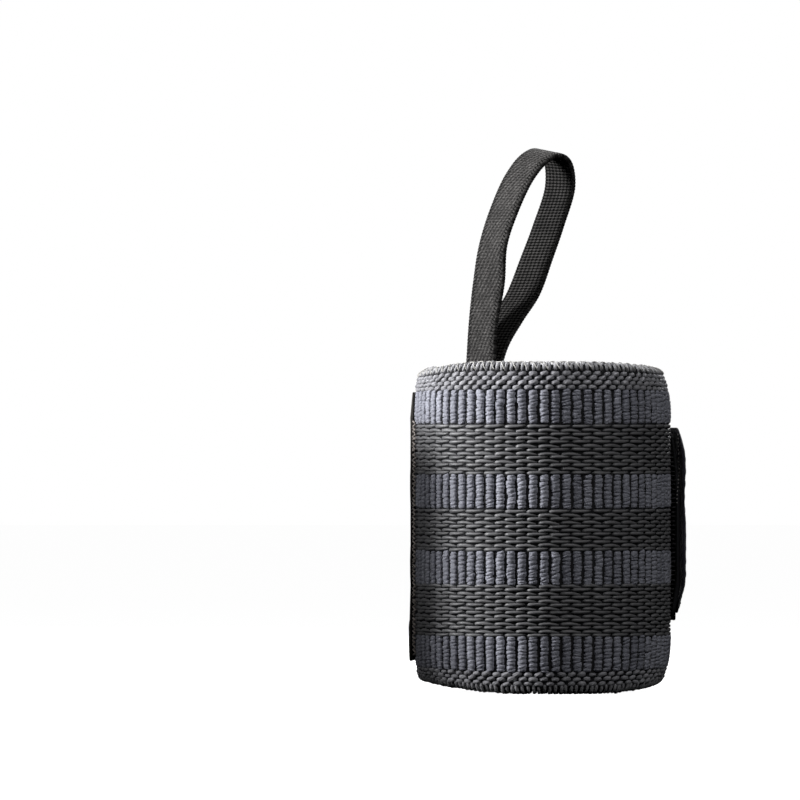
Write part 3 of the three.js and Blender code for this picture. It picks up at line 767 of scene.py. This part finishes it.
def slab(arcs, down, up, low, high, columns, crown):
    """Rings of a soft slab: across from the upper edge to the lower one on the outer face and back
    on the inner one, with both edges rounded in half an ellipse. crown(arc, height, room) gives what
    is added to the outer face, where room is how far it is to the nearer edge."""
    arcs, down, up = arcs[:, None], down[:, None], up[:, None]
    round_off = (high - low) / 2
    across = (up - down) / 2 - ((up + down) / 2 - round_off) * spaced(columns, 0.3)
    room = np.minimum(up - across, across + down)
    outer = high + crown(arcs, across, room)
    lower = -down + round_off - round_off * cos(EDGE_TURN)
    upper = up - round_off + round_off * cos(EDGE_TURN)

    def edge_depth(face, direction):
        return (low + face) / 2 + direction * (face - low) / 2 * sin(EDGE_TURN)

    height = join([across, lower, across[:, ::-1], upper], axis=1)
    inner = np.full_like(across, low)
    depth = join([outer, edge_depth(outer[:, -1:], 1), inner, edge_depth(outer[:, :1], -1)], axis=1)
    mid = len(arcs) // 2
    return places(arcs, height, depth)[None], run_along(places(height[mid], depth[mid]))


def facing_swell(arc, height):
    """How far the facing's face stands out: a crown over the height, less a shallow dent in the free
    end, which is a bell over the height and over the arc."""
    swell, dent, dent_height, spread, reach = 0.34, 0.34, 5.2, 4.5, 9.0
    crown = swell * fade(FACING_HALF - np.abs(height), 2.4, 10)
    return crown - dent * np.exp(-(((height - dent_height) / spread) ** 2) - (arc / reach) ** 2)


def tab_facing():
    """The suede facing: a soft slab, crowned over its width, with a furrow along the stitches and a
    napped face of small lumps."""
    roll, furrow_width, wave_height, lump = 0.85, 0.45, 0.05, 0.014
    arcs = end_steps(0.0, FACING_CORNER, FACING_END, 24, 110)
    half = FACING_HALF - cutback(arcs, FACING_CORNER)

    def crown(arc, height, room):
        to_edge = np.minimum(room, arc)
        swell = facing_swell(arc, height) - roll * (1 - fade(to_edge, -0.4, 2.2))
        furrow = FURROW * np.exp(-(((to_edge - SEAM_INSET) / furrow_width) ** 2))
        wave = wave_height * sin(arc / 5.3 + 1) * sin(height / 4.1 + 2)
        lumps = random.normal(0, lump, np.broadcast_shapes(arc.shape, height.shape))
        return swell - furrow + wave + lumps

    flat, place = slab(arcs, half, half, FACING_LOW, FACING_LOW + FACING_THICKNESS, 64, crown)
    return tab_piece("tab_facing_suede", flat, "navy_suede", FACING, place)


def stitch_row(line, thick, sink, around=6, pitch=STITCH_PITCH, length=STITCH_LENGTH):
    """Rings of running stitches along a line: each is a length of it that dips in at both ends."""
    run = run_along(line)
    t = linspace(0, 1, 6)
    at = arange(STITCH_START, run[-1] - length, pitch)[:, None] + length * t
    path = stack([np.interp(at, run, column) for column in line.T], -1)
    path[..., 2] -= sink * off_middle(t, 3)
    return tube_rings(path, OUTWARD, thick * blunt(t, 3, 0.85), around)


def facing_stitches():
    """Running stitches in the furrow: along the top, round the free end and back along the bottom,
    and a seam across by the binding."""
    level = FACING_LOW + FACING_THICKNESS - FURROW
    reach = FACING_HALF - SEAM_INSET
    turn = linspace(pi / 2, pi, 12)
    r = FACING_CORNER - SEAM_INSET
    corner = places(FACING_CORNER + r * cos(turn), reach - r + r * sin(turn))
    top = join([[[FACING_END - 1.0, reach]], corner])
    both = join([top, top[::-1] * [1, -1]])
    fine = join([linspace(a, b, 20, endpoint=False) for a, b in zip(both[:-1], both[1:])])
    line = places(*fine.T, level + facing_swell(*fine.T))
    seam = places(FACING_END - SEAM_INSET, linspace(reach - 1, 1 - reach, 60), level)
    made = join([stitch_row(line, 0.2, 0.22), stitch_row(seam, 0.17, 0.24)])
    return tab_piece("tab_facing_stitches", made, "dark_seam_thread", FACING, 1.2)


def tape_reach(arcs):
    """How far the hook tape reaches below and above its middle: half its width, cut back at its
    corners and spread in a flare at its root."""
    flare = fade(arcs, TAPE_END - 2 * FLARE_LENGTH, TAPE_END - FLARE_LENGTH / 2)
    from_end = arcs - TAPE_SETBACK
    down = TAPE_HALF - cutback(from_end, TAPE_BOTTOM_CORNER) + FLARE_DOWN * flare
    return down, TAPE_HALF - cutback(from_end, TAPE_TOP_CORNER) + FLARE_UP * flare


def hook_tape():
    """The tape under the facing: a slab, worn thinner along its edges, where a sine of the length
    ripples it."""
    hook_room, height_of_ripple, worn = 0.25, 0.05, 0.2
    arcs = end_steps(TAPE_SETBACK, TAPE_BOTTOM_CORNER, TAPE_END, 14, 200)
    down, up = tape_reach(arcs)

    def crown(arc, height, room):
        ripple = height_of_ripple * sin(2 * pi * arc) * (1 - fade(room, 0.8, 1.6))
        return ripple - worn * (1 - fade(room, 0, 0.6))

    flat, place = slab(arcs, down, up, CLEARANCE + hook_room, CLEARANCE + TAPE_THICKNESS, 30, crown)
    return tab_piece("hook_tape_base", flat, "black_tape_weave", TAPE, place)


def tape_hooks():
    """Stiff hooks under the tape: each rises off it and bends over, past half a circle. They stand all
    over the free end, where the tape lifts off the roll, and in a row along each edge."""
    stem, hook, straight, root, field_end, inset = 0.35, 0.25, 0.35, 0.35, 9.5, 0.5
    field = np.array([(arc + 0.5 * (k % 2), height) for k, height in enumerate(arange(-23.2, 23.3, 1.1))
                      for arc in arange(2.6, field_end, 1.25)])
    down, up = tape_reach(field[:, 0])
    field = field[(field[:, 1] < up - inset) & (field[:, 1] > inset - down)]
    arcs = arange(field_end, TAB_LENGTH - 4.0, 0.95)
    down, up = tape_reach(arcs)
    at = join([field, places(arcs, up + 0.05), places(arcs + 0.4, -down - 0.05)])
    at = at + random.normal(0, 0.08, at.shape)
    t = linspace(0, 1, 8)
    bend = 1.25 * pi * np.clip((t - straight) / (1 - straight), 0, 1)
    rise = stem * np.clip(t / straight, 0, 1) + hook * sin(bend)
    side = np.where(arange(len(at)) % 2 == 0, 1.0, -1.0)[:, None]
    tall = 1 + 0.9 * np.clip(1 - at[:, :1] / TAB_FREE_END, 0, 1)
    along = at[:, :1] + side * hook * (1 - cos(bend))
    path = places(along, at[:, 1:], CLEARANCE + root - rise * tall)
    made = tube_rings(path, UPWARD, linspace(0.15, 0.08, 8), 5)
    return tab_piece("hook_tape_hooks", made, "black_nylon_hooks", TAPE, 0.8)


def tape_edge_stitches():
    """The lockstitch at both edges of the tape, and its small stitches round the free end, which
    lie deeper towards the bottom."""
    arcs = linspace(12.0, TAB_LENGTH - 4.5, 400)
    down, up = tape_reach(arcs)
    level = CLEARANCE + TAPE_THICKNESS * 0.55
    made = [stitch_row(places(arcs, height, level), 0.13, 0.1, 5, length=2.2)
            for height in (up + 0.12, -down - 0.12)]
    heights = linspace(21.3, 4.0, 300)
    past_corner = np.maximum(heights - (TAPE_HALF - TAPE_TOP_CORNER), 0)
    end = TAPE_SETBACK + TAPE_TOP_CORNER - np.sqrt(TAPE_TOP_CORNER**2 - past_corner**2)
    line = places(np.minimum(end - 0.03, 4.4), heights, CLEARANCE + 0.3 + 1.0 * fade(heights, 5, 14))
    made.append(stitch_row(line, 0.16, 0.05, 5, pitch=0.95, length=0.36))
    return tab_piece("hook_tape_stitches", join(made), "grey_lockstitch_thread", TAPE, 0.8)


# The binding
BINDING_HALF = 32.6
OUTER_LEAF, INNER_LEAF = 25.0, 13.0
FOLD_RADIUS = THICKNESS / 2 + CLEARANCE + BINDING_THICKNESS / 2
FOLD = pi * FOLD_RADIUS
BINDING_LENGTH = OUTER_LEAF + FOLD + INNER_LEAF
BINDING_OUTSIDE = THICKNESS / 2 + CLEARANCE + BINDING_THICKNESS
RIDGE_HEIGHT, RIDGE_WIDTH, RIDGES = 0.5, 4.0, 3
TOP_THIN, TOP_THINNING = 0.5, 7


def binding_piece(name, flat, material, girth):
    """A piece of the binding, from rings round the webbing's outer end. They are the length along
    from it, the height, and the offset out from the middle of the cloth, also past the end itself."""
    arc, height, offset = np.moveaxis(flat, -1, 0)
    turn = np.degrees(arc / turn_radius(0.0))
    inside = np.maximum(turn, 0)
    radius = turn_radius(inside) + offset - curl(inside, height)
    rings = from_axis(END_ANGLE + turn, radius, height)
    return piece(name, rings, material, "twill_binding", "end_binding", girth=girth)


def binding_line():
    """The folded strip in the plan: in along the outer leaf, round the end in half a circle and back
    along the inner leaf. Gives its middle line as length and offset, its outward direction, how
    far it swells, by the root of a sine over each ridge, and the length along the strip."""
    s = linspace(0, BINDING_LENGTH, 160)
    a = np.clip((s - OUTER_LEAF) / FOLD_RADIUS, 0, pi)
    arc = np.maximum(OUTER_LEAF - s, 0) + np.maximum(s - OUTER_LEAF - FOLD, 0) - FOLD_RADIUS * sin(a)
    away = places(-sin(a), cos(a))
    ridge = np.sqrt(np.abs(sin(pi * arc / RIDGE_WIDTH)))
    ridge = ridge * (arc < RIDGE_WIDTH * RIDGES) * (s < OUTER_LEAF)
    return arc, FOLD_RADIUS * cos(a), away, RIDGE_HEIGHT * ridge, s


def top_thinning(to_top):
    """The share of its thickness that the binding has at a distance from its top."""
    return TOP_THIN + (1 - TOP_THIN) * fade(to_top, 0, TOP_THINNING)


def end_binding():
    """The twill strip: an oblong section with rounded ends, along the folded line. It is puckered a
    little along the ridges, flattens out at its upper and lower ends, is thinner at its top and
    its free edge, and flares out at its lower end."""
    columns, pucker_depth, pucker_height, roughness = 60, 0.25, 3.1, 0.012
    edge_thin, edge_thinning, flare_out = 0.62, 8, 0.45
    arc, offset, away, ridge, s = binding_line()
    half = BINDING_THICKNESS / 2
    z = spaced(columns, 0.15) * (BINDING_HALF - half)
    face = np.full(columns, half)
    end_z = BINDING_HALF - half + half * cos(EDGE_TURN)
    end_depth = half * sin(EDGE_TURN)
    height = join([z, end_z, z[::-1], -end_z[::-1]])
    depth = join([face, end_depth, -face, end_depth[::-1]])
    flatten = fade(BINDING_HALF - np.abs(height), 0, 6)
    pucker = sin(height[None] / pucker_height + 1.3 * s[:, None] / RIDGE_WIDTH)
    pucker = 1 + pucker_depth * pucker * fade(s, 4, 14)[:, None]
    lift = ridge[:, None] * pucker * (0.35 + 0.65 * flatten) * (depth > 0)
    rough = random.normal(0, roughness, (len(s), len(height))) * (depth > 0)
    edge_share = (edge_thin + (1 - edge_thin) * fade(s, 0, edge_thinning))[:, None]
    thin = top_thinning(BINDING_HALF - height) * edge_share
    flare = flare_out * fade(-height, 20.5, 24.5) * (1 - fade(s, 2, 14))[:, None]
    total = (depth + half + lift + rough) * thin - half + flare
    along, out = arc[:, None] + away[:, :1] * total, offset[:, None] + away[:, 1:] * total
    flat, place = places(along, WIDTH / 2 + height, out)[None], run_along(places(height, depth))
    return binding_piece("end_binding_twill", flat, "warm_grey_twill", place)


def binding_stitches():
    """Running stitches between the binding's ridges. They follow its thinned top."""
    heights = linspace(WIDTH / 2 - 31.5, WIDTH / 2 + 31.5, 300)
    thinned = 1 - top_thinning(WIDTH / 2 + BINDING_HALF - heights)
    level = BINDING_OUTSIDE - thinned * BINDING_THICKNESS
    made = join([stitch_row(places(RIDGE_WIDTH * k, heights, level), 0.17, 0.15) for k in (2, 3)])
    return binding_piece("end_binding_stitches", made, "warm_grey_twill", 1.1)


def binding_zigzag():
    """The light brown overlock thread: zigzags from the edge of the outer leaf onto the webbing."""
    pitch, reach, radius, clear_of_webbing, clear_of_leaf = 1.15, 2.9, 0.22, 0.25, 0.9
    low = arange(WIDTH / 2 - 31.0, WIDTH / 2 + 25.0, pitch)[:, None]
    t = linspace(0, 1, 9)
    paths = []
    for flip in (0, 1):
        share = t if flip == 0 else 1 - t
        height = low + flip * pitch / 2 + jitter(0.16, low) + (pitch / 2) * t
        along = OUTER_LEAF + 0.3 + (reach + jitter(0.5, low)) * share
        on_leaf = (BINDING_OUTSIDE - THICKNESS / 2 - clear_of_leaf) * (1 - fade(share, 0.05, 0.55))
        level = THICKNESS / 2 + clear_of_webbing + on_leaf - 0.15 * off_middle(t, 4)
        paths.append(places(along, height, level))
    made = tube_rings(join(paths), OUTWARD, radius * blunt(t, 4, 0.7), 6)
    return binding_piece("end_binding_zigzag", made, "brown_zigzag_thread", 1.2)


facing, facing_thread = tab_facing(), facing_stitches()
tape, tape_parts = hook_tape(), [tape_hooks(), tape_edge_stitches()]
binding, binding_parts = end_binding(), [binding_stitches(), binding_zigzag()]


# The studio
CAMERA_AT = (-35.9, -3000.0, 70.7)
VIEW_WIDTH, SENSOR_WIDTH = 193.94, 36.0
SPOTS = (
    # name, place, what it is aimed at, size across, power, cone
    ("key", (-280, -48, 155), (-15, -15, 85), 60, 6.3, 50),
    ("high", (-180, -130, 420), (-8, -8, 150), 60, 7.8, 18),
)
SOFTBOXES = (
    # name, place, what it is aimed at, side, power
    ("fill", (186, -403, 458), (0, 0, 55), 390, 1.08),
    ("back", (80, 570, 410), (0, 0, 60), 250, 3.0),
)
NET_CORNERS = ((-85, -28, 1), (-85, 100, 1), (-85, 100, 82), (-85, -28, 82))
FLOOR_CORNERS = ((-4000, -4000, 0), (4000, -4000, 0), (4000, 4000, 0), (-4000, 4000, 0))

camera_data = bpy.data.cameras.new("camera")
camera_data.sensor_width = SENSOR_WIDTH
camera_data.lens = SENSOR_WIDTH * -CAMERA_AT[1] / VIEW_WIDTH
camera_data.clip_start, camera_data.clip_end = 0.1, 20.0
camera = placed("camera", camera_data)
camera.location = [v * MM for v in CAMERA_AT]
camera.rotation_euler = (pi / 2, 0, 0)
bpy.context.scene.camera = camera


def aimed(data, place, aim):
    """Puts a lamp at a place, facing a point."""
    lamp = placed(data.name, data)
    lamp.location = [v * MM for v in place]
    lamp.visible_camera = False
    lamp.rotation_euler = (Vector(place) - Vector(aim)).to_track_quat("Z", "Y").to_euler()


for name, place, aim, size, power, cone in SPOTS:
    spot = bpy.data.lights.new(name, "SPOT")
    spot.shadow_soft_size, spot.energy = size / 2 * MM, power
    spot.spot_size, spot.spot_blend = radians(cone), 1.0
    aimed(spot, place, aim)

for name, place, aim, size, power in SOFTBOXES:
    softbox = bpy.data.lights.new(name, "AREA")
    softbox.shape, softbox.size, softbox.energy = "SQUARE", size * MM, power
    aimed(softbox, place, aim)


def screen(name, corners, material, looks):
    """A rectangle of the studio, which sheds no light on the part and isn't mirrored in it."""
    fabric = Fabric(material, 0.9, 0.0, 0.0)
    fabric.dress(looks)
    mesh = bpy.data.meshes.new(name)
    mesh.from_pydata([[v * MM for v in corner] for corner in corners], [], [(0, 1, 2, 3)])
    mesh.materials.append(fabric.material)
    made = placed(name, mesh)
    made.visible_diffuse = False
    made.visible_glossy = False
    return made


net = screen("net", NET_CORNERS, "black_gauze", {"Base Color": (0, 0, 0, 1), "Alpha": 0.88})
net.visible_camera = False

floor = screen("floor", FLOOR_CORNERS, "pale_floor", {
    "Base Color": (0.9, 0.9, 0.9, 1), "Emission Color": (1, 1, 1, 1), "Emission Strength": 0.985,
})

world = bpy.data.worlds.new("studio")
world.use_nodes = True
background = world.node_tree.nodes["Background"].inputs
background["Color"].default_value = (1, 1, 1, 1)
background["Strength"].default_value = 1.0
world.cycles_visibility.diffuse = False
world.cycles_visibility.glossy = False
bpy.context.scene.world = world
bpy.context.scene.view_settings.view_transform = "Standard"
